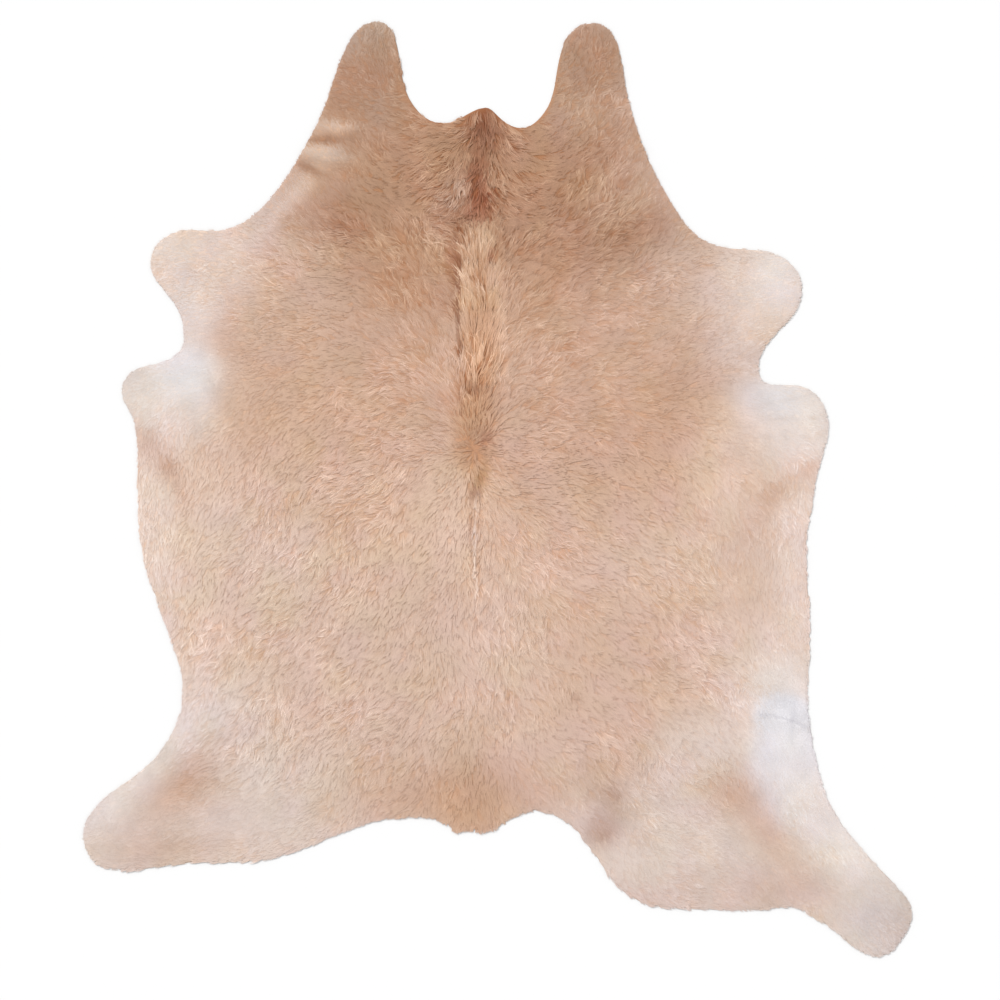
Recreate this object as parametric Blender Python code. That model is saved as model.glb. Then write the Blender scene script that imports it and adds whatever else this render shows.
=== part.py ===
"""Cowhide rug: one tanned hide with its hair left on, lying flat with the hair side up.

+Y runs along the spine towards the neck, +X is to the right as seen from above, and +Z is up.
The origin is on the floor, at the middle of the rug's box. Tables are in millimetres and degrees.
"""
import math

import bpy
import numpy as np
from mathutils import Vector
from mathutils.geometry import delaunay_2d_cdt

MM = 0.001

# Size of the whole hide
HIDE_WIDTH = 1860 * MM
HIDE_LENGTH = 2100 * MM

# Thickness of the leather and of the hair lying on it
LEATHER = 2.5 * MM
COAT_AT_RIM = 2.0 * MM
COAT_ON_BODY = 5.5 * MM
COAT_FULL_AT = 200 * MM
COAT_LUMP = 0.5 * MM
LUMP_LENGTH = 150 * MM

# Section through the rim: how far each ring lies inside the outline, and its share of the thickness
RIM_RINGS = (
    # inset, rise
    (3.0, 0.00),
    (0.0, 0.35),
    (2.5, 0.80),
    (9.0, 1.00),
)

# Spacing of the points
RIM_STEP = 16 * MM
RIM_TURN = 9
TOP_STEP = 34 * MM
UNDERSIDE_STEP = 80 * MM
FOLD_STEP = 15 * MM
CLEAR_OF_FOLD = 0.1 * MM
ROW_PITCH = math.sqrt(3) / 2
CLEAR_OF_RING = 0.6

# Each table is one stretch of the outline, clockwise from the crest of the neck.
# x and y are the place, heading is the way the cut runs there: 0 is +X and 90 is +Y.
NECK_AND_RIGHT_CHEEK = (
    # place, x, y, heading
    ("crest tip", -27, 859, 0),
    ("crest right", 4, 837, -43),
    ("notch", 52, 813, 0),
    ("notch side", 103, 847, 54),
    ("cheek shoulder", 152, 1010, 60),
    ("cheek tip", 213, 1048, 0),
    ("neck top", 287, 905, -79),
    ("neck low", 410, 611, -56),
    ("shoulder bay", 484, 549, -17),
)
RIGHT_FORELEG = (
    # place, x, y, heading
    ("foreleg top", 583, 538, -7),
    ("foreleg corner", 663, 501, -48),
    ("foreleg under", 654, 380, -132),
    ("armpit", 585, 268, -82),
    ("armpit corner", 598, 240, -20),
    ("elbow top", 668, 235, -6),
    ("elbow tip", 741, 138, -92),
)
RIGHT_FLANK_AND_HIND_LEG = (
    # place, x, y, heading
    ("flank top", 710, -1, -94),
    ("flank nick", 693, -106, -93),
    ("flank", 699, -337, -92),
    ("groin", 695, -482, -85),
    ("thigh", 726, -657, -75),
    ("hoof corner", 914, -915, -50),
    ("hoof low", 896, -1025, -130),
    ("hoof bottom", 849, -1051, 180),
    ("hoof inner", 798, -1029, 142),
    ("hock", 672, -940, 156),
    ("buttock low", 578, -944, 180),
    ("buttock", 394, -940, 175),
    ("buttock corner", 320, -928, 158),
)
RUMP_AND_TAIL = (
    # place, x, y, heading
    ("right rump bay", 92, -722, 180),
    ("tail right", 20, -744, -150),
    ("tail tip right", -34, -768, 180),
    ("tail notch", -61, -761, 180),
    ("tail tip left", -86, -769, 180),
    ("tail left", -114, -750, 145),
    ("left rump bay", -164, -737, 180),
    ("left rump", -262, -742, -168),
)
LEFT_HIND_LEG_AND_FLANK = (
    # place, x, y, heading
    ("buttock", -520, -831, -171),
    ("shank low", -688, -839, -176),
    ("hoof bottom", -834, -856, 178),
    ("hoof corner", -903, -836, 135),
    ("hoof tip", -928, -780, 90),
    ("shank", -814, -644, 36),
    ("groin", -703, -444, 90),
    ("flank low", -737, -317, 107),
    ("flank", -780, -204, 108),
    ("flank top", -807, 89, 90),
)
LEFT_FORELEG_AND_CHEEK = (
    # place, x, y, heading
    ("elbow low", -820, 165, 115),
    ("elbow tip", -842, 221, 88),
    ("elbow top", -814, 268, 32),
    ("armpit low", -749, 287, 18),
    ("armpit", -703, 338, 90),
    ("foreleg under", -722, 414, 124),
    ("foreleg tip", -778, 513, 86),
    ("foreleg top", -697, 583, 5),
    ("shoulder bay", -625, 582, 4),
    ("neck", -480, 692, 55),
    ("cheek low", -401, 829, 64),
    ("cheek shoulder", -323, 1021, 55),
    ("cheek tip", -272, 1051, 0),
    ("cheek side", -213, 930, -80),
    ("notch", -119, 823, 0),
)

# How uneven the cut is along each stretch: clean above, ragged with hair along the lower flanks and rump
OUTLINE = (
    # stretch, raggedness
    (NECK_AND_RIGHT_CHEEK, 0.3),
    (RIGHT_FORELEG, 0.3),
    (RIGHT_FLANK_AND_HIND_LEG, 1.2),
    (RUMP_AND_TAIL, 2.0),
    (LEFT_HIND_LEG_AND_FLANK, 1.4),
    (LEFT_FORELEG_AND_CHEEK, 0.3),
)
RAGGED_WAVES = (
    # wavelength, share, phase
    (97, 0.45, 0.0),
    (61, 0.30, 1.3),
    (43, 0.25, 4.1),
)
RAGGED_BLEND_STEPS = 5

# Folds lift the whole sheet off the floor, leather and hair together
FOLDS = (
    # place, x from, y from, x to, y to, half width, height
    ("left neck upper", -392, 795, -325, 803, 19, 6.0),
    ("left neck lower", -425, 748, -352, 765, 22, 5.5),
    ("right neck upper", 322, 762, 296, 752, 20, 5.0),
    ("right neck lower", 350, 702, 318, 722, 18, 3.5),
    ("right groin crease", 692, -536, 590, -497, 12, 3.0),
)
FOLD_CUT = 0.4 * MM

# Ridges are only thicker hair, and a hollow is a ridge with a height below nothing
RIDGES = (
    # place, x from, y from, x to, y to, half width, height
    ("crest of the neck", -25, 820, -48, 640, 46, 3.0),
    ("mane strip", -45, 560, -48, 180, 38, 2.2),
    ("whorl", -50, 70, -50, 70, 34, -1.8),
    ("parting below the whorl", -50, 0, -52, -230, 12, -0.9),
    ("thin hair, left elbow", -720, 220, -650, 330, 80, -1.2),
    ("thin hair, right elbow", 560, 190, 650, 150, 80, -1.2),
    ("thin hair, right groin", 620, -440, 650, -620, 80, -1.2),
    ("tail root", -60, -640, -60, -720, 60, 1.0),
)


def run_between(start, end):
    """Points from one station of the outline up to the next, without the last one."""
    _, start_x, start_y, start_heading = start
    _, end_x, end_y, end_heading = end
    begin = np.array((start_x, start_y)) * MM
    finish = np.array((end_x, end_y)) * MM
    chord = np.linalg.norm(finish - begin)
    turn = (end_heading - start_heading + 180) % 360 - 180
    reach = chord / (3 * math.cos(math.radians(turn) / 4) ** 2)
    leave = begin + reach * direction(start_heading)
    arrive = finish - reach * direction(end_heading)
    steps = max(2, round(max(chord / RIM_STEP, abs(turn) / RIM_TURN)))
    share = (np.arange(steps) / steps)[:, None]
    rest = 1 - share
    return rest**3 * begin + 3 * rest**2 * share * leave + 3 * rest * share**2 * arrive + share**3 * finish


def direction(heading):
    angle = math.radians(heading)
    return np.array((math.cos(angle), math.sin(angle)))


def inward(outline):
    """Unit vectors that point into the hide from each point of a clockwise outline."""
    along = np.roll(outline, -1, axis=0) - np.roll(outline, 1, axis=0)
    along /= np.linalg.norm(along, axis=1)[:, None]
    return np.column_stack((along[:, 1], -along[:, 0]))


def outline_points():
    """The hide's outline, clockwise, with its ragged stretches, fitted to the rug's size."""
    stations = [row for stretch, _ in OUTLINE for row in stretch]
    raggedness = [amount * MM for stretch, amount in OUTLINE for _ in stretch]
    runs = [run_between(row, stations[(i + 1) % len(stations)]) for i, row in enumerate(stations)]
    points = np.vstack(runs)
    amount = np.concatenate([np.full(len(run), share) for run, share in zip(runs, raggedness)])
    for _ in range(RAGGED_BLEND_STEPS):
        amount = (np.roll(amount, 1) + amount + np.roll(amount, -1)) / 3
    travelled = np.cumsum(np.linalg.norm(np.roll(points, -1, axis=0) - points, axis=1))
    wave = sum(
        share * np.sin(2 * math.pi * travelled / (length * MM) + phase)
        for length, share, phase in RAGGED_WAVES
    )
    points = points + inward(points) * (wave * amount)[:, None]
    low, high = points.min(axis=0), points.max(axis=0)
    return (points - (low + high) / 2) * np.array((HIDE_WIDTH, HIDE_LENGTH)) / (high - low)


def distance_to_line(points, begin, finish):
    """Distance of each point from the straight line between two places."""
    run = finish - begin
    length = max(float(run @ run), MM**2)
    share = np.clip((points - begin) @ run / length, 0, 1)
    return np.linalg.norm(points - begin - share[:, None] * run, axis=1)


def distance_to_rim(points, outline):
    """Distance of each point from the outline."""
    nearest = np.full(len(points), np.inf)
    for begin, finish in zip(outline, np.roll(outline, -1, axis=0)):
        nearest = np.minimum(nearest, distance_to_line(points, begin, finish))
    return nearest


def raised(points, table):
    """Sum of the soft ridges in a table at each point."""
    height = np.zeros(len(points))
    for _, from_x, from_y, to_x, to_y, half_width, top in table:
        begin = np.array((from_x, from_y)) * MM
        finish = np.array((to_x, to_y)) * MM
        away = distance_to_line(points, begin, finish) / (half_width * MM)
        height += top * MM * np.exp(-away**2)
    return height


def underside(points):
    """Height of the underside: on the floor, but for the folds."""
    return np.maximum(raised(points, FOLDS) - FOLD_CUT, 0)


def thickness(points, outline):
    """Leather and hair together: thin on the legs and at the rim, full on the body."""
    share = np.clip(distance_to_rim(points, outline) / COAT_FULL_AT, 0, 1)
    full = share * share * (3 - 2 * share)
    coat = COAT_AT_RIM + (COAT_ON_BODY - COAT_AT_RIM) * full
    x, y = points.T * 2 * math.pi / LUMP_LENGTH
    lumps = COAT_LUMP * full * (np.sin(x + 0.6 * y) + np.sin(1.7 * y - 0.8 * x)) / 2
    return LEATHER + coat + lumps + raised(points, RIDGES)


def inside(points, outline):
    """Which points lie inside the outline, by counting the edges that a line to +X crosses."""
    crossings = np.zeros(len(points), dtype=int)
    x, y = points.T
    for (x0, y0), (x1, y1) in zip(outline, np.roll(outline, -1, axis=0)):
        spans = (y0 > y) != (y1 > y)
        if spans.any():
            crossings += spans & (x < x0 + (y - y0) * (x1 - x0) / (y1 - y0))
    return crossings % 2 == 1


def lattice(step, outline, clear):
    """Points in offset rows, a step apart, that lie inside the outline and clear of it."""
    rows = []
    count_y = int(HIDE_LENGTH / (step * ROW_PITCH)) + 1
    count_x = int(HIDE_WIDTH / step) + 2
    for row in range(count_y):
        x = (np.arange(count_x) + 0.5 * (row % 2)) * step - HIDE_WIDTH / 2
        y = np.full(count_x, row * step * ROW_PITCH - HIDE_LENGTH / 2)
        rows.append(np.column_stack((x, y)))
    points = np.vstack(rows)
    points = points[inside(points, outline)]
    return points[distance_to_rim(points, outline) > clear]


def net(step, outline, clear):
    """Points across the hide, a step apart and closer together on the folds."""
    wide = lattice(step, outline, clear)
    wide = wide[raised(wide, FOLDS) < CLEAR_OF_FOLD]
    fine = lattice(FOLD_STEP, outline, clear - (step - FOLD_STEP) * CLEAR_OF_RING)
    fine = fine[underside(fine) > 0]
    return np.vstack((wide, fine))


def triangles(ring, inner):
    """Triangles that fill a ring of points and pass through the inner points, facing up."""
    flat = [Vector(point) for point in np.vstack((ring, inner)).tolist()]
    edges = [(i, (i + 1) % len(ring)) for i in range(len(ring))]
    _, _, faces, origin, _, _ = delaunay_2d_cdt(flat, edges, [], 1, 1e-7)
    result = []
    for face in faces:
        a, b, c = (origin[i][0] for i in face)
        upward = (flat[b] - flat[a]).cross(flat[c] - flat[a]) > 0
        result.append((a, b, c) if upward else (a, c, b))
    return result


def hide_material():
    material = bpy.data.materials.new("cream hair on hide")
    material.use_nodes = True
    shader = material.node_tree.nodes["Principled BSDF"]
    shader.inputs["Base Color"].default_value = (0.62, 0.41, 0.30, 1)
    shader.inputs["Roughness"].default_value = 0.75
    shader.inputs["Metallic"].default_value = 0
    return material


def build_hide():
    """One closed sheet: rings up the rim, a fine net on the hair side and a wide one underneath."""
    outline = outline_points()
    towards = inward(outline)
    count = len(outline)
    rings = [outline + towards * inset * MM for inset, _ in RIM_RINGS]
    heights = [
        underside(ring) + rise * thickness(outline, outline)
        for ring, (_, rise) in zip(rings, RIM_RINGS)
    ]
    top_inner = net(TOP_STEP, outline, RIM_RINGS[-1][0] * MM + CLEAR_OF_RING * TOP_STEP)
    low_inner = net(UNDERSIDE_STEP, outline, RIM_RINGS[0][0] * MM + CLEAR_OF_RING * UNDERSIDE_STEP)

    flat = np.vstack((*rings, top_inner, low_inner))
    height = np.concatenate((
        *heights,
        underside(top_inner) + thickness(top_inner, outline),
        underside(low_inner),
    ))

    first_top_inner = len(rings) * count
    first_low_inner = first_top_inner + len(top_inner)
    faces = []
    for ring in range(len(rings) - 1):
        lower = ring * count
        for i in range(count):
            after = (i + 1) % count
            low_a, low_b = lower + i, lower + after
            faces.append((low_b, low_a, low_a + count))
            faces.append((low_b, low_a + count, low_b + count))
    last_ring = (len(rings) - 1) * count
    for face in triangles(rings[-1], top_inner):
        faces.append(tuple(last_ring + i for i in face))
    for a, b, c in triangles(rings[0], low_inner):
        face = (c, b, a)
        faces.append(tuple(i if i < count else first_low_inner + i - count for i in face))

    mesh = bpy.data.meshes.new("hide")
    mesh.from_pydata(np.column_stack((flat, height)).tolist(), [], faces)
    mesh.shade_smooth()
    mesh.materials.append(hide_material())
    hide = bpy.data.objects.new("hide", mesh)
    bpy.context.scene.collection.objects.link(hide)


def main():
    for item in list(bpy.data.objects):
        bpy.data.objects.remove(item, do_unlink=True)
    build_hide()


main()
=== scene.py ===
import math
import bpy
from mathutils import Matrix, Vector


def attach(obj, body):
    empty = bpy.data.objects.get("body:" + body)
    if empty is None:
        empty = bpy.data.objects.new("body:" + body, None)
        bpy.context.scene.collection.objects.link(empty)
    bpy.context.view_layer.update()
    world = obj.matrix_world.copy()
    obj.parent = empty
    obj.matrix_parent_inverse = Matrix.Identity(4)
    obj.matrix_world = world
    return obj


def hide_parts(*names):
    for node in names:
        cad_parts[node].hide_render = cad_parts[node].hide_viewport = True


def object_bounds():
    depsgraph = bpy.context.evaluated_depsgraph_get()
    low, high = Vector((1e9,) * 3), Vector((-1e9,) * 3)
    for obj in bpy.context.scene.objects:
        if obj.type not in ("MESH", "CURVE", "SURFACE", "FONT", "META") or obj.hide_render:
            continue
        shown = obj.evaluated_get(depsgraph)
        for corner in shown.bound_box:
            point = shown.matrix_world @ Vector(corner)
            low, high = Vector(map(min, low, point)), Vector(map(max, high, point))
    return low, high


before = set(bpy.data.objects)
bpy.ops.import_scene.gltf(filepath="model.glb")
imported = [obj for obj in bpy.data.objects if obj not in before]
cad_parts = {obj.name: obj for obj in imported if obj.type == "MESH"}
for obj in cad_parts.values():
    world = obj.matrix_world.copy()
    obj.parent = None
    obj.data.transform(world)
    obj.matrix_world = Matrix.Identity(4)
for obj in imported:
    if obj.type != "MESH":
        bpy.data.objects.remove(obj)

from types import SimpleNamespace

import bmesh
import bpy
import numpy as np
from mathutils import Vector
from mathutils.bvhtree import BVHTree
from mathutils.kdtree import KDTree

# A whole cowhide lies flat on the floor, hair side up: one thin sheet, and the hair that grows on it.
# Places, lengths and widths in the tables are millimetres.
# A heading is in degrees: 0 is +X, across the hide to the right, and 90 is +Y, along the spine to the neck.
MM = 0.001
CAD_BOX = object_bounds()
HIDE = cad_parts["hide"]
SEED = 11

# Grid on which the hide's outline and heights are read, and how far above and below it the rays start
GRID_STEP = 6 * MM
GRID_MARGIN = 48 * MM
WELD = 0.01 * MM
RAY_START = 1.0
# Less than any real length, so that nothing is divided by 0
LEAST_LENGTH = 1e-6

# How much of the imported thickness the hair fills, where it is as deep as on the back, and least and most
PILE_SHARE = 0.32
PILE_DEPTHS = (0.15, 1.6)
# How far the sheet's rim is drawn in under the hair, and how far up a face points that bears hair
SHEET_INSET = 1.7 * MM
INSET_FADES_AT = 26 * MM
FACES_UP = 0.5

# The hair grows in small tufts of flat blades, each blade a few hairs wide. The tufts stand in shaken rows
TUFT_PITCH = 6.95 * MM
ROW_PITCH = math.sqrt(3) / 2
SHAKE = 0.45
BLADES_IN_TUFT = 4
ROOT_CLEAR = 1.2 * MM
# Where a blade stands in its tuft, as a share of the pitch, and how far it closes on the tuft's middle
ACROSS_TUFT = 0.55
ALONG_TUFT = 0.6
TUFT_CLOSING = 0.4
# A blade has a root, two pairs of points and a tip, from station 0 to 1
STATIONS = (0.0, 0.35, 0.70, 1.0)
RISE_AT_STATIONS = (0.0, 0.62, 1.0, 0.86)
WIDTH_AT_STATIONS = (0.0, 1.0, 0.78, 0.0)
BLADE_FACES = ((0, 2, 1), (1, 2, 4, 3), (3, 4, 5))
BLADE_HALF_WIDTH = 0.95 * MM
WIDTH_RANGE = (0.8, 1.25)
# Each blade is drawn as a few hairs side by side
HAIRS_ACROSS = 4.0
STRAND_SPREAD = 500.0
# Tufts gather in locks: how much a lock closes towards its tip, and how its front and sides are shorter
LOCK_PITCH = 17 * MM
LOCK_CLOSING = 0.2
LOCK_FRONT = 0.3
LOCK_POINT = 0.3
LEAST_IN_LOCK = 0.4
# How lively the coat is comes and goes in clouds, each with its size and strength, between two limits
LIVELY_MIDDLE = 0.62
LIVELY_CLOUDS = ((40 * MM, 0.6), (110 * MM, 0.5))
LIVELY_RANGE = (0.15, 1.35)
# The share of the unrest that stays everywhere
STEADY_UNREST = 0.6
# Clouds of swirl, in degrees, and of tint
SWIRL_CLOUDS = ((55 * MM, 20), (130 * MM, 10))
TINT_CLOUDS = ((30 * MM, 1.25), (75 * MM, 1.25))
# How much hair differs from lock to lock, from tuft to tuft in a lock, and from blade to blade in a tuft:
# heading and bend in degrees, tint, length, and the share of the depth by which it sinks
LOCK, TUFT, BLADE = range(3)
HEADINGS = (15, 6, 3)
BENDS = (20, 10, 6)
TINTS = (0.4, 0.25, 0.12)
LENGTHS = ((0.75, 1.25), (0.85, 1.1), (0.8, 1.15))
SINKING = (0.16, 0.1)
LEVEL_RANGE = (0.9, 1.05)
# Painted light and shade from side to side of a lock: one side lighter and the other darker, by a random
# amount
SIDE_LIGHT_AND_SHADE = 0.8
# Strong contrast takes from the clouds of tint, and adds to the other tints and to the streaks
CLOUD_LOSS = 0.6
TINT_GAINS = (1, 2, 3)
STREAK_GAIN = 2.2
# A blade bends about a station, waves along its length, and rolls at random and away from its tuft's middle:
# in degrees, but for the wave's turn and shift, which are in radians
BEND_STATION = 0.3
WAVE_RANGE = (2, 14)
WAVE_TURN = 5
WAVE_SHIFT = 0.4
ROLL = 7
ROLL_ASIDE = 20
# Hair hangs over the rim by part of its reach there, and keeps at least a share of its length
HANG_RANGE = (0.1, 1.0)
LEAST_AT_RIM = 0.15
# Streaks of paler and deeper hair run on from lock to lock
STREAK_WIDTH = 4 * MM
STREAK_STEPS = 6
STREAK_TINT = 0.5
# Here and there a pale hair lies on top, paler and with a painted highlight, and a tuft is narrowed and
# painted darker, as painted shade where the hair parts
PALE_SHARE = 0.075
PALE_HIGHLIGHT_TINT = 4.2
PALE_LONGER = 1.25
PALE_NARROWER = 0.9
PALE_BEND = 35
PALE_LEVEL = 1.05
DEEP_SHARE = 0.025
DEEP_SHADE_TINT = -2.1
DEEP_NARROWER = 0.4
COAT_PIECES = ("coat_neck", "coat_shoulders", "coat_back", "coat_loins", "coat_rump")

# How the hair lies, read from the lie of the locks: x, y and heading of each stroke of the comb
STROKES = (
    # crest
    (-25, 845, -92), (-35, 785, -92), (-40, 715, -92), (-45, 605, -92),
    (-10, 800, -55), (0, 750, -48), (-10, 695, -48), (-15, 640, -55),
    (30, 785, -25), (40, 730, -30), (45, 610, -10), (-60, 805, -145),
    (-60, 760, -120), (-65, 705, -115), (-65, 650, -115), (-80, 600, -145),
    # left side of the neck
    (-95, 805, -165), (-105, 630, -160), (-160, 785, -155), (-150, 715, -135),
    (-160, 650, -145), (-205, 705, -120), (-235, 705, 140), (-275, 705, 130),
    (-315, 805, 98), (-345, 675, 125), (-400, 670, 125), (-250, 760, 120),
    (-150, 810, -180),
    # right side of the neck
    (80, 650, -10), (260, 710, 58), (175, 660, 48), (130, 640, 35),
    (230, 805, 60), (300, 760, 70), (370, 615, 45), (75, 800, 5),
    # cheeks
    (-320, 860, 165), (-250, 850, 160), (-300, 915, 140), (-240, 930, 110), (-270, 1000, 95),
    (165, 815, 30), (180, 870, 25), (240, 880, 40), (205, 930, 70), (210, 1010, 85),
    # mane
    (-65, 570, 92), (-40, 580, 90), (-10, 565, 78), (-70, 505, 90),
    (-40, 505, 88), (-70, 425, 90), (-70, 335, 92), (-45, 335, 84),
    (-70, 190, 105), (-25, 190, 65),
    # beside the mane
    (-100, 560, 140), (-100, 510, 138), (-100, 460, 136), (-105, 405, 130),
    (-105, 325, 128), (20, 550, 42), (30, 450, 52), (20, 315, 52),
    (0, 190, 30),
    # left shoulder
    (-190, 595, 122), (-235, 575, 125), (-215, 495, 145), (-330, 620, 165),
    (-285, 640, 140), (-340, 555, 165), (-360, 425, 172), (-175, 245, 150),
    (-555, 335, 178),
    # left foreleg
    (-620, 425, 175), (-690, 405, -175), (-600, 255, -160), (-690, 270, -170),
    (-780, 245, -165), (-755, 180, -135),
    # right shoulder
    (65, 470, 36), (85, 340, 18), (140, 495, 22), (195, 380, 8),
    (280, 510, 20), (305, 445, 0), (410, 295, 22), (495, 325, 14),
    (65, 255, 12),
    # right foreleg
    (545, 505, 0), (500, 210, -15), (655, 180, -10), (715, 145, -20),
    (655, 100, -35),
    # whorl
    (-65, 135, 112), (-40, 135, 72), (-85, 100, 170), (-20, 95, 8),
    (-75, 65, -125), (-25, 55, -40), (-50, 35, -90), (-50, -135, -90),
    (-55, -245, -90), (-55, -740, -90),
    # left side of the back
    (-105, 150, 140), (-115, 120, 178), (-190, 230, 165), (-255, 215, -165),
    (-195, 155, -175), (-255, 100, -148), (-380, 295, -170), (-360, 260, -155),
    (-360, 100, -128), (-295, -5, -154), (-520, -50, -110), (-125, -5, -135),
    (-85, -25, -102), (-145, -135, -118), (-170, -200, -118), (-90, -115, -102),
    # left flank
    (-575, 200, -138), (-555, 65, -120), (-655, -25, -105), (-745, 90, -95),
    (-765, -25, -92), (-565, -125, -135), (-665, -225, -115), (-720, -225, -98),
    (-520, -180, -138), (-360, -135, -115),
    # right side of the back
    (20, 145, -5), (150, 150, -8), (280, 135, -10), (345, 100, -28),
    (410, 80, -47), (45, 60, -4), (10, 25, -28), (65, -5, -18),
    (45, -70, -38), (-20, -25, -74), (325, 60, -35), (150, -80, -25),
    (20, -115, -58), (210, -90, -35), (175, -220, -30), (95, -270, -55),
    (0, -290, -75),
    # right flank
    (590, -25, -60), (655, -25, -80), (670, -115, -90), (635, -200, -85),
    (565, -245, -60),
    # rump
    (-305, -395, -120), (-285, -515, -148), (-130, -540, -120), (-215, -675, -128),
    (-130, -720, -105), (5, -450, -75), (75, -450, -55), (255, -450, -35),
    (5, -540, -75), (165, -585, -35), (120, -685, -42), (30, -705, -70),
    # hind legs
    (-665, -335, -120), (-420, -765, -145), (-825, -720, -145), (-825, -820, -170),
    (-600, -820, -165), (435, -360, -40), (670, -630, -62), (455, -895, -20),
    (725, -805, -45),
)
STROKE_SOFTNESS = 22 * MM
STROKE_FADE = 1.6

# How long the hair is, how unruly, how deep its locks lie and how much their tones differ
PLAIN_HAIR = (27, 1.0, 0.95, 1.0)
KINDS_OF_HAIR = (
    # place, x, y, half long, half wide, heading, length, unrest, depth, contrast, edge
    ("rump and thighs", -40, -560, 620, 300, 0, 30, 1.15, 0.8, 0.85, 4),
    ("loins", -20, -280, 180, 150, 0, 28, 1.05, 0.7, 0.7, 3),
    ("shoulders", -40, 330, 560, 190, 0, 27, 1.15, 0.55, 1.4, 4),
    ("right shoulder", 290, 310, 240, 190, 0, 27, 1.0, 0.4, 1.05, 3),
    ("neck", -40, 740, 400, 190, 0, 27, 1.3, 0.6, 2.05, 3),
    ("crest", -35, 750, 165, 105, 88, 38, 1.1, 1.6, 2.8, 3),
    ("mane", -40, 345, 215, 44, 90, 58, 0.6, 2.3, 3.2, 6),
    ("notch", -43, 606, 40, 26, 90, 13, 0.5, 1.2, 1.5, 3),
    ("foot of the mane", -46, 160, 66, 44, 90, 30, 0.8, 1.5, 1.9, 3),
    ("whorl", -50, 92, 52, 46, 90, 19, 1.5, 1.0, 1.6, 3),
    ("heart of the whorl", -51, 94, 30, 26, 90, 25, 2.3, 1.2, 1.6, 3),
    ("tuft below the whorl", -50, 22, 44, 20, 90, 24, 0.7, 1.3, 2.0, 3),
    ("parting", -50, -130, 150, 16, 90, 22, 0.6, 1.2, 1.2, 4),
    ("left cheek", -300, 930, 160, 90, 100, 16, 1.4, 0.6, 1.6, 3),
    ("right cheek", 205, 930, 160, 90, 80, 16, 1.4, 0.6, 1.6, 3),
    ("left side of the neck", -420, 720, 150, 70, 55, 11, 0.7, 0.4, 1.0, 3),
    ("right side of the neck", 360, 690, 150, 50, -60, 14, 0.8, 0.5, 1.3, 3),
    ("left foreleg", -720, 480, 160, 140, 0, 11, 0.7, 0.2, 1.0, 4),
    ("lower part of the left foreleg", -665, 460, 90, 60, -30, 13, 0.9, 0.45, 1.3, 3),
    ("inner side of the left elbow", -590, 250, 80, 110, 0, 17, 0.8, 0.45, 0.75, 3),
    ("below the left elbow", -710, 110, 120, 60, 0, 17, 0.8, 0.4, 0.7, 3),
    ("left elbow", -730, 250, 170, 120, 0, 11, 0.6, 0.12, 0.5, 4),
    ("right foreleg", 650, 430, 160, 150, 0, 11, 0.7, 0.2, 0.8, 4),
    ("right elbow", 660, 150, 160, 130, 0, 11, 0.6, 0.12, 0.4, 4),
    ("left side of the belly", -630, -60, 130, 130, 0, 22, 0.9, 0.65, 0.72, 3),
    ("right side of the belly", 560, -150, 200, 110, 90, 22, 0.9, 0.45, 0.65, 3),
    ("left shoulder", -520, 290, 100, 150, 0, 20, 0.9, 0.5, 0.8, 3),
    ("left flank", -760, -20, 220, 60, 92, 18, 0.85, 0.6, 0.85, 3),
    ("right flank", 670, -200, 280, 70, 90, 18, 0.8, 0.5, 0.7, 3),
    ("right groin", 650, -580, 190, 110, 95, 8, 0.3, 0.08, 0.15, 5),
    ("right thigh", 740, -760, 150, 90, -60, 12, 0.4, 0.2, 0.4, 3),
    ("left hind leg", -590, -735, 180, 80, 8, 20, 0.8, 0.18, 0.28, 3),
    ("right buttock", 430, -800, 330, 130, -15, 22, 0.9, 0.38, 0.65, 3),
    ("right hind leg", 560, -790, 120, 95, -40, 17, 0.7, 0.2, 0.35, 3),
    ("inner side of the right thigh", 500, -590, 110, 90, 90, 22, 0.9, 0.5, 0.8, 3),
    ("upper rim of the left hind leg", -780, -620, 190, 60, 40, 14, 0.5, 0.3, 0.5, 3),
    ("left shank", -820, -760, 170, 110, 30, 16, 0.6, 0.25, 0.4, 3),
    ("right shank", 850, -920, 200, 110, -50, 14, 0.6, 0.35, 0.55, 3),
)

# How far hair reaches past the rim: a little all round, and more where it is ragged
EVEN_RIM = 0.8
RAGGED_RIMS = (
    # place, x, y, half long, half wide, heading, reach, edge
    ("left flank", -740, -310, 175, 70, 92, 5, 6),
    ("bottom of the left hind leg", -650, -850, 290, 45, 0, 6, 8),
    ("left of the tail root", -260, -765, 190, 45, 12, 4, 6),
    ("tail root", -50, -765, 90, 50, 0, 9, 6),
    ("right of the tail root", 130, -745, 90, 50, 0, 5, 6),
    ("right buttock", 260, -860, 150, 60, -55, 6, 6),
    ("bottom of the right hind leg", 500, -950, 230, 45, 0, 6, 8),
    ("right flank", 690, -390, 80, 50, 90, 4, 6),
    ("top of the crest", -30, 850, 50, 30, 0, 5, 4),
)

# Colours of the coat, as seen, from 0 to 255
BARLEY = (208, 170, 142)
CREAM = (221, 195, 178)
SAND = (215, 184, 164)
TAN = (206, 169, 146)
FAWN = (182, 141, 114)
PALE_FAWN = (182, 148, 125)
DEEP_FAWN = (172, 130, 103)
UMBER = (150, 103, 76)
RUSSET = (122, 76, 52)
RUST = (160, 98, 68)
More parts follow.
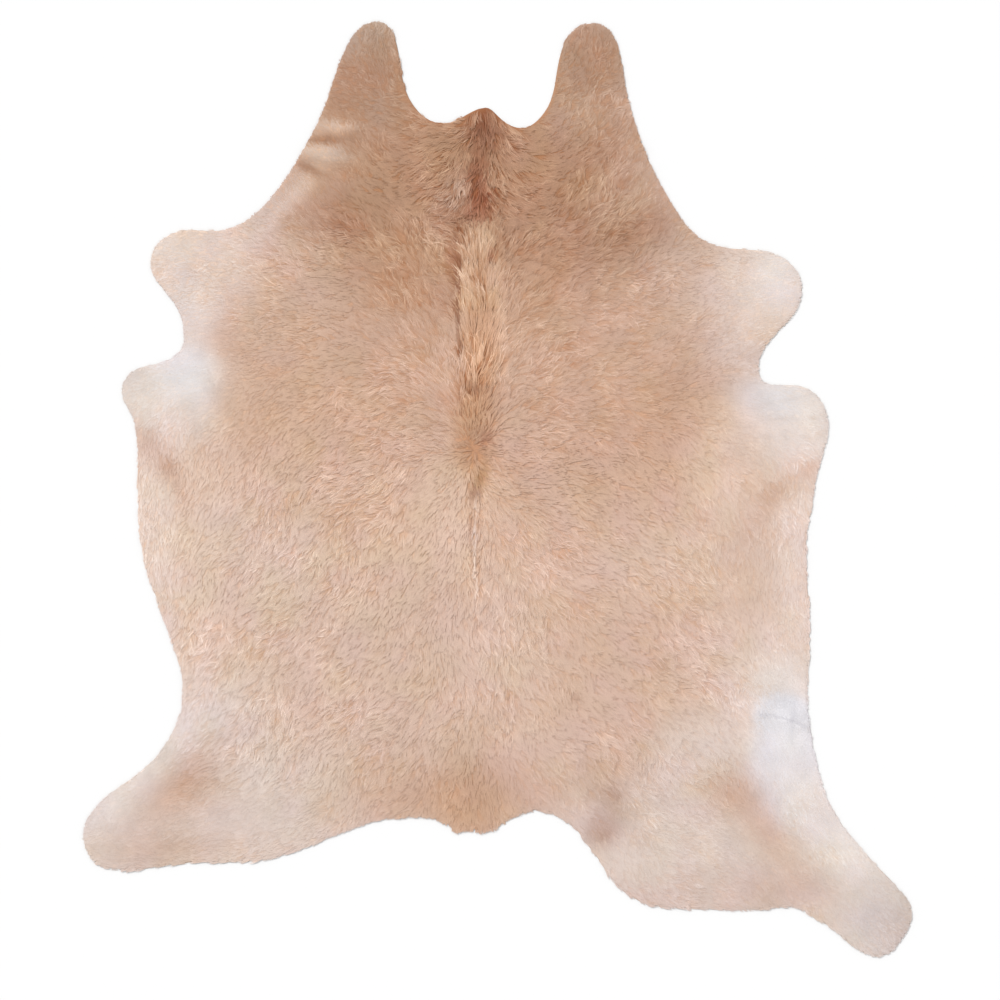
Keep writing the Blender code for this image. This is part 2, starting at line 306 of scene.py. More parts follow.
# A grey for painted shade in creases
CREASE_SHADE = (186, 182, 190)
HONEY = (197, 156, 127)
HAZEL = (182, 138, 104)
GOLD = (206, 156, 118)
PEACH = (217, 178, 148)
OLD_GOLD = (170, 123, 70)
BISCUIT = (206, 169, 147)
CLAY = (199, 160, 136)
BUFF = (205, 172, 151)
MILK = (222, 203, 192)
BLUSH = (229, 201, 182)
DUSTY = (202, 173, 158)
MAUVE = (188, 154, 141)
SHELL = (227, 195, 171)
MOUSE = (180, 155, 137)
ASH = (214, 201, 195)
IVORY = (229, 208, 196)
PEARL = (232, 220, 214)
COOL_WHITE = (231, 227, 230)
DEEP_LEATHER = (206, 190, 172)
PALE_LEATHER = (222, 210, 195)

BASE_TONE = MILK
# How shade changes the coat's colour: along a blade, which is as dark as the coat at one station, with
# painted shade towards the root, under other hair, and a lighter tip; by tint; and in the under-fur between
# the tufts, with a slight painted light, and painted shade where they part. Richness adds painted warmth to
# the shade
ROOT_SHADE_TO_TIP = 0.12
EVEN_STATION = 0.6
TINT_STRENGTH = 0.055
ROOT_RICHNESS = 0.36
UNDER_FUR_LIFT = 0.02
UNDER_FUR_RICHNESS = 0.22
RICHEST_CONTRAST = 1.1
PARTED_SHADE = 0.15
DEEPEST = 0.3
# Powers of the shade by which red, green and blue change, and how richness shifts them
DEEPER = (0.55, 1.17, 1.82)
PALER = (0.8, 1.08, 1.28)
WARMTH = (0.23, -0.08, -0.43)
# Patches of rosier and of yellower hair run all through it
MOTTLE_SIZE = 48 * MM
MOTTLE = (0.015, 0.0, 0.06)
# Where the hair is sleek it is more even and a little deeper, and its tone wavers softly
SLEEK_EVENNESS = 0.65
SLEEK_SHADE = 0.11
SLEEK_CLOUDS = ((20 * MM, 0.06), (45 * MM, 0.06))
# A gain on red, green and blue, chosen so that the render's tones in this room come level with the photo's
COAT_GAIN = (0.949, 0.97, 0.997)
PATCHES = (
    # place, x, y, half long, half wide, heading, tone, cover, edge
    ("trunk", -40, -190, 640, 590, 90, SAND, 1.0, 4),
    ("left side of the trunk", -560, -80, 420, 190, 85, CREAM, 0.75, 3),
    ("upper part of the left flank", -650, 55, 135, 125, 0, BLUSH, 0.95, 2),
    ("left shoulder", -540, 470, 110, 70, 0, TAN, 0.7, 2),
    ("right side of the trunk", 260, -400, 330, 200, 90, BISCUIT, 0.5, 3),
    ("left haunch", -550, -640, 90, 85, 0, IVORY, 0.8, 2),
    ("upper end of the left hind leg", -640, -510, 60, 70, 0, PEARL, 0.5, 2),
    ("middle of the loins", 30, -360, 90, 120, 0, MILK, 0.15, 2),
    ("right haunch", 500, -590, 110, 60, 0, MILK, 0.6, 2),
    ("shoulders and back", -40, 290, 600, 330, 0, TAN, 1.0, 3.5),
    ("left side of the back", -470, 180, 150, 120, 0, PEACH, 0.6, 2),
    ("left of the rump", -450, -500, 70, 120, 0, PEACH, 0.45, 2),
    ("inside the left flank", -600, -270, 60, 90, 0, PEACH, 0.3, 2),
    ("neck", -40, 800, 420, 235, 0, FAWN, 1.0, 5),
    ("left cheek", -300, 930, 150, 90, 100, PALE_FAWN, 1.0, 3),
    ("right cheek", 205, 930, 150, 90, 80, PALE_FAWN, 0.7, 3),
    ("middle of the left cheek", -270, 950, 60, 36, 90, DEEP_FAWN, 0.5, 2),
    ("end of the left cheek", -280, 1020, 60, 34, 20, MOUSE, 0.7, 2),
    ("end of the right cheek", 215, 985, 70, 60, 80, DEEP_FAWN, 0.7, 2),
    ("foot of the right cheek", 205, 845, 70, 36, 0, BUFF, 0.45, 2),
    ("foot of the neck, left", -320, 600, 140, 66, -12, DEEP_FAWN, 0.9, 2),
    ("foot of the neck, right", 290, 565, 150, 64, 20, DEEP_FAWN, 0.95, 2),
    ("right of the crest", 95, 650, 90, 80, 0, DEEP_FAWN, 0.95, 2),
    ("foot of the neck, middle", -40, 600, 200, 70, 0, DEEP_FAWN, 0.7, 2),
    ("middle of the neck", -50, 685, 330, 85, 0, HAZEL, 0.45, 3),
    ("left side of the neck", -400, 720, 95, 50, 60, HONEY, 0.7, 2),
    ("left rim of the neck", -470, 640, 100, 22, 50, IVORY, 0.6, 2),
    ("rim of the left cheek", -335, 860, 40, 70, 20, FAWN, 0.7, 2),
    # Painted highlights on two folds in the left rim of the neck, and painted shade in the hollow below each
    ("first fold in the left rim of the neck", -362, 810, 44, 11, -6, CREAM, 0.55, 3),
    ("hollow below the first fold", -385, 780, 46, 8, -4, DEEP_FAWN, 1.0, 3),
    ("second fold in the left rim of the neck", -385, 750, 56, 15, -10, CREAM, 0.8, 3),
    ("hollow below the second fold", -415, 714, 42, 9, -28, DEEP_FAWN, 0.8, 3),
    ("right rim of the neck", 395, 655, 100, 30, -60, BUFF, 0.8, 2),
    ("inner part of the left foreleg", -600, 480, 70, 90, 0, CREAM, 0.6, 3),
    ("right shoulder", 480, 470, 110, 65, 0, BUFF, 0.4, 2),
    ("left foreleg", -700, 500, 150, 110, 0, IVORY, 1.0, 4),
    ("right foreleg", 625, 440, 150, 120, 0, IVORY, 1.0, 4),
    ("end of the left foreleg", -755, 500, 70, 70, 0, PEARL, 0.5, 3),
    ("end of the right foreleg", 645, 480, 80, 70, 0, PEARL, 0.9, 3),
    ("below the left foreleg", -680, 385, 55, 50, 0, PEARL, 0.6, 3),
    ("left elbow", -745, 220, 140, 105, 0, PEARL, 1.0, 3.5),
    ("left armpit", -690, 265, 66, 60, 0, COOL_WHITE, 0.75, 3),
    ("tan above the left elbow", -600, 320, 60, 36, -35, BISCUIT, 0.3, 2),
    ("end of the left elbow", -815, 255, 40, 45, 0, ASH, 0.4, 3),
    ("tan by the left elbow", -580, 205, 50, 60, 0, PEACH, 0.6, 2),
    ("right elbow", 655, 160, 125, 105, 0, PEARL, 1.0, 4),
    ("white of the right elbow", 595, 210, 70, 42, -10, COOL_WHITE, 0.8, 3),
    # Painted shade along two faint folds in the right elbow
    ("fold in the right elbow", 655, 205, 55, 5, 14, ASH, 0.4, 3),
    ("second fold in the right elbow", 640, 160, 70, 6, 4, ASH, 0.35, 3),
    ("left flank", -775, -20, 200, 56, 95, IVORY, 0.8, 3),
    ("inner part of the left flank", -680, -110, 230, 50, 95, BLUSH, 0.6, 2),
    ("right flank", 685, -200, 270, 58, 90, IVORY, 0.9, 3),
    ("round the right groin", 630, -540, 220, 115, 95, IVORY, 0.8, 3),
    ("above the right groin", 630, -435, 75, 60, 0, PEARL, 0.8, 2.5),
    ("right armpit", 545, 290, 90, 60, 0, PEARL, 0.5, 2.5),
    ("right groin", 650, -610, 140, 90, 92, COOL_WHITE, 1.0, 6),
    ("top of the right groin", 640, -508, 68, 52, -8, COOL_WHITE, 1.0, 8),
    # Painted shade in the crease of the right groin, and in a fainter crease across it
    ("crease in the groin, inner part", 612, -504, 36, 4, -12, CREASE_SHADE, 0.35, 4),
    ("crease in the groin, outer part", 672, -522, 36, 4, -22, CREASE_SHADE, 0.45, 4),
    ("faint crease across it", 660, -520, 45, 5, 85, CREASE_SHADE, 0.25, 3),
    ("right thigh", 735, -740, 170, 75, -60, PEARL, 0.9, 3),
    ("outer side of the right shank", 800, -850, 110, 55, -50, PEARL, 0.7, 3),
    ("upper rim of the left hind leg", -790, -620, 190, 55, 42, PEARL, 0.75, 3),
    ("end of the right hind leg", 870, -975, 100, 85, -50, ASH, 1.0, 3),
    ("bottom of the right hind leg", 560, -890, 150, 45, 0, DUSTY, 1.0, 2),
    ("tip of the right hind leg", 905, -985, 60, 60, 0, MOUSE, 0.3, 2),
    ("bottom of the right buttock", 365, -890, 110, 50, 0, DUSTY, 1.0, 2),
    ("left buttock", -500, -700, 150, 110, 0, MILK, 0.8, 3),
    ("right buttock", 330, -800, 220, 110, -20, MILK, 0.9, 3),
    ("inner side of the right thigh", 430, -610, 120, 90, 0, MILK, 0.7, 3),
    ("above the tail root", -90, -675, 210, 64, 0, CLAY, 0.9, 2),
    ("left thigh", -560, -560, 130, 120, 0, MILK, 0.6, 2),
    ("left hock", -696, -656, 102, 46, 42, CLAY, 0.74, 2),
    ("warm hair under the left hock", -670, -695, 90, 36, 10, PEACH, 0.2, 2),
    ("below the left hock", -730, -805, 110, 36, 5, BISCUIT, 0.6, 2),
    ("right hock", 520, -672, 68, 46, -20, CLAY, 0.72, 2),
    ("right hock, lower", 600, -762, 96, 40, -52, BISCUIT, 0.65, 2),
    ("left loin", -190, -80, 150, 110, 0, SHELL, 0.6, 2),
    ("pale hair left of the whorl", -90, -30, 65, 100, 0, SHELL, 0.9, 2.5),
    ("right loin", 370, -140, 130, 80, 0, CREAM, 0.6, 2),
    ("cool hair right of the tail root", 280, -660, 120, 80, 0, ASH, 0.3, 2),
    ("shade on the right buttock", 240, -680, 70, 36, -60, PALE_FAWN, 0.6, 2),
    ("shade at the rim of the right buttock", 226, -756, 36, 34, 0, MAUVE, 0.8, 2.5),
    ("second shade on the right buttock", 275, -600, 60, 40, 0, CLAY, 0.5, 2),
    ("tail root", -60, -700, 110, 70, 90, HONEY, 0.8, 2.5),
    ("sides of the crest", -40, 750, 165, 90, 90, DEEP_FAWN, 0.8, 2.5),
    ("crest", -38, 735, 120, 15, 88, UMBER, 1.0, 3),
    ("warm line down the crest", -38, 700, 90, 13, 88, RUST, 0.45, 3),
    ("top of the crest", -24, 818, 42, 26, 80, UMBER, 1.0, 3),
    ("notch at the crest's foot", -43, 620, 42, 22, 90, RUST, 1.0, 3),
    ("dark corner of the notch", -70, 604, 20, 5, 40, RUSSET, 0.8, 3),
    ("shade right of the mane", 80, 540, 110, 70, 0, FAWN, 0.8, 2),
    ("shade left of the mane", -175, 480, 160, 95, -10, HONEY, 0.9, 3),
    ("right of the mane", 150, 370, 120, 90, 0, HONEY, 0.3, 2),
    ("warm hair right of the mane", 100, 485, 60, 60, 0, GOLD, 0.25, 2),
    ("left of the mane", -165, 490, 130, 90, -15, FAWN, 0.55, 2),
    ("mane", -40, 360, 230, 40, 90, BARLEY, 0.95, 8),
    ("lower part of the mane", -42, 285, 90, 30, 90, GOLD, 0.6, 3),
    ("foot of the mane", -42, 165, 66, 34, 90, GOLD, 0.5, 3),
    # Painted shade in a fold across the foot of the mane
    ("fold across the foot of the mane", -40, 206, 34, 6, -8, DEEP_FAWN, 0.5, 3),
    # Painted shade along the left border of the mane, where the hair beside it starts beneath the mane
    ("shade along the left border of the mane", -82, 450, 160, 5, 90, UMBER, 0.95, 4),
    ("reddish shade left of the mane", -92, 505, 34, 10, 95, RUST, 0.45, 3),
    ("reddish spot in the mane", -20, 497, 20, 8, 75, RUST, 0.7, 3),
    ("spot above the whorl", -55, 203, 14, 10, 0, UMBER, 0.6, 3),
    ("whorl", -54, 100, 56, 34, 90, GOLD, 0.8, 3),
    ("middle of the whorl", -50, 98, 28, 28, 90, FAWN, 0.75, 3),
    ("spot in the whorl", -33, 108, 12, 8, 60, RUST, 0.6, 3),
    ("tuft below the whorl", -46, 30, 34, 12, -105, OLD_GOLD, 0.9, 3),
    ("dark end of the tuft", -53, 6, 16, 8, -100, UMBER, 0.9, 3),
    ("parting", -50, -110, 110, 3.5, 90, IVORY, 0.6, 3),
    ("left of the parting", -58, -100, 110, 3.5, 90, CLAY, 0.8, 3),
    ("right of the parting", -43, -110, 110, 3.5, 90, CLAY, 0.7, 3),
    ("right of the shoulders", 370, 210, 160, 65, 20, HONEY, 0.55, 2),
    ("right of the back", 240, 60, 210, 130, 0, TAN, 0.8, 2),
    ("warm hair right of the back", 390, 110, 120, 110, 0, GOLD, 0.22, 2),
    ("right side of the back", 515, 50, 82, 115, 0, BLUSH, 0.8, 2.5),
    ("inner part of the right flank", 560, -220, 60, 90, 0, PEACH, 0.4, 2),
    ("mark by the left elbow", -738, 58, 34, 22, -50, CLAY, 0.7, 2),
    ("dark core of the left mark", -742, 62, 13, 5, -10, FAWN, 0.7, 3),
    ("upper end of the left mark", -785, 112, 32, 26, -50, BISCUIT, 0.6, 2),
    ("lower end of the left mark", -712, 10, 45, 11, -65, BISCUIT, 0.5, 2),
    ("white right of the right mark", 680, -15, 70, 40, 80, IVORY, 0.85, 3),
    ("mark by the right elbow", 625, 5, 46, 22, 12, CLAY, 0.5, 2),
    ("upper end of the right mark", 697, 51, 22, 15, 35, BISCUIT, 0.6, 2),
    ("lower end of the right mark", 590, -45, 45, 22, 50, BISCUIT, 0.4, 2),
    ("spot low on the back", 166, -458, 12, 9, 20, UMBER, 0.35, 2.5),
    ("second spot low on the back", 253, -673, 14, 11, 0, UMBER, 0.3, 2.5),
    ("third spot low on the back", 235, -769, 14, 10, 40, UMBER, 0.3, 2.5),
    ("dash on the right of the back", 356, -386, 16, 7, 15, UMBER, 0.3, 2.5),
    ("dash on the right thigh", 441, -247, 14, 6, -20, UMBER, 0.25, 2.5),
    ("pale spot left of the crest", -83, 695, 26, 18, 60, PALE_FAWN, 0.8, 2.5),
    ("second pale spot left of the crest", -95, 655, 30, 14, 20, PALE_FAWN, 0.6, 2.5),
)

# The room: a plain pale floor, a soft key light from the upper left, and even light from all round.
# Sizes and distances are metres, and the key's softness, height and heading are degrees
FLOOR_SIZE = 60.0
FLOOR_DROP = 0.3 * MM
FLOOR_TONE = (236, 236, 236)
SKY_TONE = (255, 255, 255)
SKY_STRENGTH = 0.70
KEY_STRENGTH = 2.1
KEY_SOFTNESS = 24
KEY_HEIGHT = 48
KEY_HEADING = 128
KEY_DISTANCE = 3.0

# The camera looks straight down on the middle of the picture
CAMERA_X = 5.6 * MM
CAMERA_Y = -23.9 * MM
LENS = 85
SENSOR = 36
# Side in metres of the square that it sees, level with the coat's top
PICTURE_SIDE = 2.241
COAT_TOP = 8 * MM


def direction(heading):
    """Cosine and sine of a heading in degrees."""
    angle = np.radians(heading)
    return np.cos(angle), np.sin(angle)


def linear(tone):
    """A colour as seen, from 0 to 255, as the light that it sends back, from 0 to 1."""
    share = np.array(tone) / 255
    return np.where(share > 0.04045, ((share + 0.055) / 1.055) ** 2.4, share / 12.92)


class Field:
    """Values on a square grid over the floor, read anywhere between its points."""

    def __init__(self, low, step, values):
        self.low = low
        self.step = step
        self.values = values

    def __call__(self, x, y):
        # Just short of the last point, so that each place read has a next one
        last_column, last_row = np.array(self.values.shape) - 1.001
        column = np.clip((x - self.low[0]) / self.step, 0, last_column)
        row = np.clip((y - self.low[1]) / self.step, 0, last_row)
        i, j = column.astype(int), row.astype(int)
        u, v = column - i, row - j
        near = self.values[i, j] * (1 - v) + self.values[i, j + 1] * v
        far = self.values[i + 1, j] * (1 - v) + self.values[i + 1, j + 1] * v
        return near * (1 - u) + far * u


def grid(step):
    """The grid's lowest corner, and the x and y of its points."""
    low = np.array(CAD_BOX[0].xy) - GRID_MARGIN
    high = np.array(CAD_BOX[1].xy) + GRID_MARGIN
    counts = np.ceil((high - low) / step).astype(int) + 1
    x, y = np.meshgrid(np.arange(counts[0]), np.arange(counts[1]), indexing="ij")
    return low, low[0] + x * step, low[1] + y * step


def clouds(rng, size):
    """Soft random patches of about one size, from -1 to 1."""
    low, x, _ = grid(size)
    return Field(low, size, rng.uniform(-1, 1, x.shape))


def clouded(rng, layers, x, y):
    """The sum at each point of several layers of clouds, each with its size and strength."""
    return sum(strength * clouds(rng, size)(x, y) for size, strength in layers)


def welded_hide():
    """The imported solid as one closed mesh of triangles."""
    work = bmesh.new()
    work.from_mesh(HIDE.data)
    bmesh.ops.remove_doubles(work, verts=work.verts, dist=WELD)
    bmesh.ops.triangulate(work, faces=work.faces)
    return work


def rim_field(work):
    """Distance to the outline, which is where the hair side meets the underside: above 0 on the hide."""
    low, x, y = grid(GRID_STEP)
    nearest = np.full(x.shape, np.inf)
    crossings = np.zeros(x.shape, dtype=int)
    for edge in work.edges:
        sides = [face.normal.z > 0 for face in edge.link_faces]
        if len(sides) != 2 or sides[0] == sides[1]:
            continue
        (x0, y0), (x1, y1) = (vert.co.xy for vert in edge.verts)
        run_x, run_y = x1 - x0, y1 - y0
        share = np.clip(((x - x0) * run_x + (y - y0) * run_y) / (run_x**2 + run_y**2), 0, 1)
        away = np.hypot(x - x0 - share * run_x, y - y0 - share * run_y)
        nearest = np.minimum(nearest, away)
        if y0 != y1:
            crossings += ((y0 > y) != (y1 > y)) & (x < x0 + (y - y0) * run_x / run_y)
    return Field(low, GRID_STEP, np.where(crossings % 2 == 1, nearest, -nearest))


def height_fields(work):
    """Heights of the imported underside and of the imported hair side, each carried on past the rim."""
    tree = BVHTree.FromBMesh(work)
    low, x, y = grid(GRID_STEP)
    fields = []
    for side in (-1, 1):
        values = np.full(x.shape, np.nan)
        for place in np.ndindex(x.shape):
            start = Vector((x[place], y[place], side * RAY_START))
            hit = tree.ray_cast(start, Vector((0, 0, -side)))[0]
            if hit is not None:
                values[place] = hit.z
        fields.append(Field(low, GRID_STEP, carried_on(values)))
    return fields


def carried_on(values):
    """Fills the empty places of a grid from their neighbours, ring by ring."""
    while np.isnan(values).any():
        padded = np.pad(values, 1, constant_values=np.nan)
        around = np.stack((padded[:-2, 1:-1], padded[2:, 1:-1], padded[1:-1, :-2], padded[1:-1, 2:]))
        known = ~np.isnan(around)
        total = np.where(known, around, 0).sum(axis=0)
        count = known.sum(axis=0)
        empty = np.isnan(values) & (count > 0)
        values = values.copy()
        values[empty] = total[empty] / count[empty]
    return values


def ovals(x, y, rows):
    """For each row of a table, its share at each point, 1 in the middle of its soft oval, and its values."""
    for _, place_x, place_y, half_long, half_wide, heading, *values, edge in rows:
        cos, sin = direction(heading)
        from_x, from_y = x / MM - place_x, y / MM - place_y
        along = (from_x * cos + from_y * sin) / half_long
        across = (from_y * cos - from_x * sin) / half_wide
        yield np.exp(-math.log(2) * np.hypot(along, across) ** edge)[:, None], values


def laid_over(plain, rows, x, y):
    """The plain values at each point, with the values of each row laid over them in turn."""
    laid = np.tile(plain, (len(x), 1))
    for share, values in ovals(x, y, rows):
        laid = laid * (1 - share) + np.array(values) * share
    return laid.T


def coat_colour(x, y):
    """The coat's colour at each point, as linear light: its own, with painted highlights and shade at folds,
    creases and the mane's border.
    """
    colour = np.tile(linear(BASE_TONE), (len(x), 1))
    for share, (tone, cover) in ovals(x, y, PATCHES):
        share = cover * share
        colour = colour * (1 - share) + linear(tone) * share
    rng = np.random.default_rng(SEED)
    rosy = clouds(rng, MOTTLE_SIZE)(x, y)[:, None]
    wavering = clouded(rng, SLEEK_CLOUDS, x, y)[:, None]
    sleek = np.clip(1 - hair_kind(x, y)[2], 0, 1)[:, None]
    rosy = rosy * (1 - SLEEK_EVENNESS * sleek)
    return colour * COAT_GAIN * (1 + rosy * np.array(MOTTLE)) * (1 + sleek * (wavering - SLEEK_SHADE))


def shaded(colour, shade, richness):
    """A colour made deeper or paler by a factor about 1: deep hair is also richer, and pale hair greyer."""
    shade = np.maximum(shade, DEEPEST)[..., None]
    warm = np.exp(np.asarray(richness)[..., None] * np.array(WARMTH))
    return np.clip(colour * warm * shade ** np.where(shade < 1, DEEPER, PALER), 0, 1)


def hair_kind(x, y):
    """Length of the hair in millimetres, its unrest, its depth and its contrast at each point."""
    return laid_over(PLAIN_HAIR, KINDS_OF_HAIR, x, y)


def pile_field():
    """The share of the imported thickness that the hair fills: less where it is sleek."""
    low, x, y = grid(GRID_STEP)
    depth = hair_kind(x.ravel(), y.ravel())[2].reshape(x.shape)
    return Field(low, GRID_STEP, PILE_SHARE * np.clip(depth, *PILE_DEPTHS))


def lie_of_hair(x, y):
    """Heading in degrees in which the hair lies at each point."""
    east, north = np.zeros(len(x)), np.zeros(len(x))
    for place_x, place_y, heading in STROKES:
        square = (x - place_x * MM) ** 2 + (y - place_y * MM) ** 2
        weight = (square + STROKE_SOFTNESS**2) ** -STROKE_FADE
        cos, sin = direction(heading)
        east += weight * cos
        north += weight * sin
    return np.degrees(np.arctan2(north, east))


def streaks(rng):
    """Random streaks of tone that follow the lie of the hair, most of them from -2 to 2."""
    speckle = clouds(rng, STREAK_WIDTH)
    low, coarse_x, coarse_y = grid(GRID_STEP)
    ways = direction(lie_of_hair(coarse_x.ravel(), coarse_y.ravel()))
    east, north = (Field(low, GRID_STEP, way.reshape(coarse_x.shape)) for way in ways)
    low, x, y = grid(STREAK_WIDTH)
    total = np.zeros(x.shape)
    for way in (STREAK_WIDTH, -STREAK_WIDTH):
        at_x, at_y = x, y
        for _ in range(STREAK_STEPS):
            total += speckle(at_x, at_y)
            at_x, at_y = at_x + way * east(at_x, at_y), at_y + way * north(at_x, at_y)
    return Field(low, STREAK_WIDTH, total / total.std())


def shaken_rows(rng, pitch, rim, clear):
    """Offset rows of places over the hide, each one shaken, that lie clear of the rim."""
    low, high = CAD_BOX
    rows = int((high.y - low.y) / (pitch * ROW_PITCH)) + 2
    columns = int((high.x - low.x) / pitch) + 2
    row, column = np.meshgrid(np.arange(rows), np.arange(columns), indexing="ij")
    shake = rng.uniform(-SHAKE, SHAKE, (2, rows, columns))
    x = low.x + (column + 0.5 * (row % 2) + shake[0]) * pitch
    y = low.y + (row * ROW_PITCH + shake[1]) * pitch
    x, y = x.ravel(), y.ravel()
    kept = rim(x, y) > clear
    return x[kept], y[kept]


def nearest_places(x, y, places_x, places_y):
    """Index of the nearest place to each point."""
    tree = KDTree(len(places_x))
    for index, place in enumerate(zip(places_x, places_y)):
        tree.insert((*place, 0), index)
    tree.balance()
    return np.array([tree.find((*point, 0))[1] for point in zip(x, y)])


def overhang(x, y):
    """How far hair may reach past the rim at each point."""
    return laid_over((EVEN_RIM,), RAGGED_RIMS, x, y)[0] * MM


def grown_tufts(rng, rim):
    """Every tuft: where it grows, how it lies, and how long, unruly, deep and strong in tone its hair is."""
    lock_x, lock_y = shaken_rows(rng, LOCK_PITCH, rim, -LOCK_PITCH)
    locks = len(lock_x)
    x, y = shaken_rows(rng, TUFT_PITCH, rim, ROOT_CLEAR)
    count = len(x)
    lock = nearest_places(x, y, lock_x, lock_y)
    length, unrest, depth, contrast = hair_kind(x, y)
    lively = np.clip(LIVELY_MIDDLE + clouded(rng, LIVELY_CLOUDS, x, y), *LIVELY_RANGE)
    depth = np.minimum(depth * lively, 1)
    contrast = contrast * lively
    unrest = unrest * (STEADY_UNREST + (1 - STEADY_UNREST) * lively)

    swirl = clouded(rng, SWIRL_CLOUDS, x, y)
    swirl = swirl + rng.normal(0, HEADINGS[LOCK], locks)[lock] + rng.normal(0, HEADINGS[TUFT], count)
    heading = lie_of_hair(x, y) + unrest * swirl
    cos, sin = direction(heading)
    ahead = (x - lock_x[lock]) * cos + (y - lock_y[lock]) * sin
    aside = (y - lock_y[lock]) * cos - (x - lock_x[lock]) * sin
    bend = unrest * (rng.normal(0, BENDS[LOCK], locks)[lock] + rng.normal(0, BENDS[TUFT], count))
    wave = unrest * rng.uniform(*WAVE_RANGE, locks)[lock]
    phase = rng.uniform(0, 2 * math.pi, locks)[lock] + rng.normal(0, WAVE_SHIFT, count)
    # Painted shade: a few tufts are drawn darker, where the hair parts
    deep = rng.random(count) < DEEP_SHARE
    sunk = rng.uniform(0, SINKING[LOCK], locks)[lock] + rng.uniform(0, SINKING[TUFT], count)

    length = length * MM * rng.uniform(*LENGTHS[LOCK], locks)[lock] * rng.uniform(*LENGTHS[TUFT], count)
    short = unrest * (LOCK_FRONT * ahead + LOCK_POINT * np.abs(aside))
    length = np.maximum(length - short, LEAST_IN_LOCK * length)
    hang = overhang(x, y) * rng.uniform(*HANG_RANGE, count)

    strong = np.maximum(contrast - 1, 0)
    tint = clouded(rng, TINT_CLOUDS, x, y) / (1 + CLOUD_LOSS * strong)
    tint = tint + rng.normal(0, TINTS[LOCK], locks)[lock] * (1 + TINT_GAINS[LOCK] * strong)
    # Painted light and shade across each lock
    tint = tint + rng.normal(0, SIDE_LIGHT_AND_SHADE, locks)[lock] * aside / (LOCK_PITCH / 2)
    tint = tint + rng.normal(0, TINTS[TUFT], count) * (1 + TINT_GAINS[TUFT] * strong)
    tint = tint + np.where(deep, DEEP_SHADE_TINT, 0.0)
    return SimpleNamespace(
        x=x, y=y, heading=heading, unrest=unrest, lively=lively, aside=aside,
        bend=bend, wave=wave, phase=phase, deep=deep, depth=depth, level=1 - depth * sunk,
        length=length, hang=hang, contrast=contrast, strong=strong, tint=tint,
    )


def grown_blades(rng, tufts):
    """Every blade of hair: its root, its way, its size and its tint, from the values of its tuft."""
    repeated = {name: np.repeat(values, BLADES_IN_TUFT) for name, values in vars(tufts).items()}
    tuft = SimpleNamespace(**repeated)
    blades = len(tuft.x)
    cos, sin = direction(tuft.heading)
    # A few blades are pale hairs on top, paler and with a painted highlight
    pale = rng.random(blades) < PALE_SHARE * tuft.lively
    across = rng.uniform(-ACROSS_TUFT, ACROSS_TUFT, blades) * TUFT_PITCH
    across = across * np.where(tuft.deep, DEEP_NARROWER, 1.0)
    along = rng.uniform(-ALONG_TUFT, ALONG_TUFT, blades) * TUFT_PITCH
    closing = TUFT_CLOSING * across + LOCK_CLOSING * tuft.unrest * tuft.aside
    heading = tuft.heading + tuft.unrest * rng.normal(0, HEADINGS[BLADE], blades)
    bend = tuft.bend + rng.normal(0, BENDS[BLADE], blades)
    bend = bend + np.where(pale, rng.normal(0, PALE_BEND, blades), 0)
    length = tuft.length * rng.uniform(*LENGTHS[BLADE], blades) * np.where(pale, PALE_LONGER, 1.0)
    roll = tuft.depth * (rng.normal(0, ROLL, blades) + ROLL_ASIDE * across / TUFT_PITCH)
    half_width = BLADE_HALF_WIDTH * rng.uniform(*WIDTH_RANGE, blades) * np.where(pale, PALE_NARROWER, 1.0)
    level = np.where(pale, PALE_LEVEL, tuft.level * rng.uniform(*LEVEL_RANGE, blades))

    streak = streaks(rng)(tuft.x - sin * across, tuft.y + cos * across)
    tint = tuft.tint + streak * STREAK_TINT * (1 + STREAK_GAIN * tuft.strong)
    tint = tint + rng.normal(0, TINTS[BLADE], blades) * (1 + TINT_GAINS[BLADE] * tuft.strong)
    tint = (tint + np.where(pale, PALE_HIGHLIGHT_TINT, 0.0)) / np.sqrt(np.maximum(tuft.contrast, 1))
    return SimpleNamespace(
        x=tuft.x + cos * along - sin * across, y=tuft.y + sin * along + cos * across,
        heading=heading, bend=bend, wave=tuft.wave, phase=tuft.phase, roll=np.radians(roll),
        length=length, hang=tuft.hang, half_width=half_width, level=level,
        close_x=closing * sin, close_y=-closing * cos, tint=tint, contrast=tuft.contrast,
    )


def laid_blades(blades, rim, under, top, pile):
    """Places of each blade's stations, drawn back where it would hang too far over the rim."""
    place_x, place_y = [blades.x], [blades.y]
    for before, now in zip(STATIONS, STATIONS[1:]):
        middle = (before + now) / 2
        turned = blades.heading + blades.bend * (middle - BEND_STATION)
        turned = turned + blades.wave * np.sin(blades.phase + middle * WAVE_TURN)
        step_x, step_y = direction(turned)
        place_x.append(place_x[-1] + (now - before) * (blades.length * step_x + blades.close_x))
        place_y.append(place_y[-1] + (now - before) * (blades.length * step_y + blades.close_y))
    place_x, place_y = np.array(place_x), np.array(place_y)

    at_root, at_tip = rim(place_x[0], place_y[0]), rim(place_x[-1], place_y[-1])
    fall = np.maximum(at_root - at_tip, LEAST_LENGTH)
    share = np.where(at_tip < -blades.hang, (at_root + blades.hang) / fall, 1.0)
    share = np.clip(share, LEAST_AT_RIM, 1.0)
    place_x = place_x[0] + (place_x - place_x[0]) * share
    place_y = place_y[0] + (place_y - place_y[0]) * share

    rise = np.array(RISE_AT_STATIONS)[:, None] * blades.level
    floor = under(place_x, place_y)
    room = top(place_x, place_y) - floor
    place_z = floor + room * (1 - pile(place_x, place_y) * (1 - rise))
    return place_x, place_y, place_z


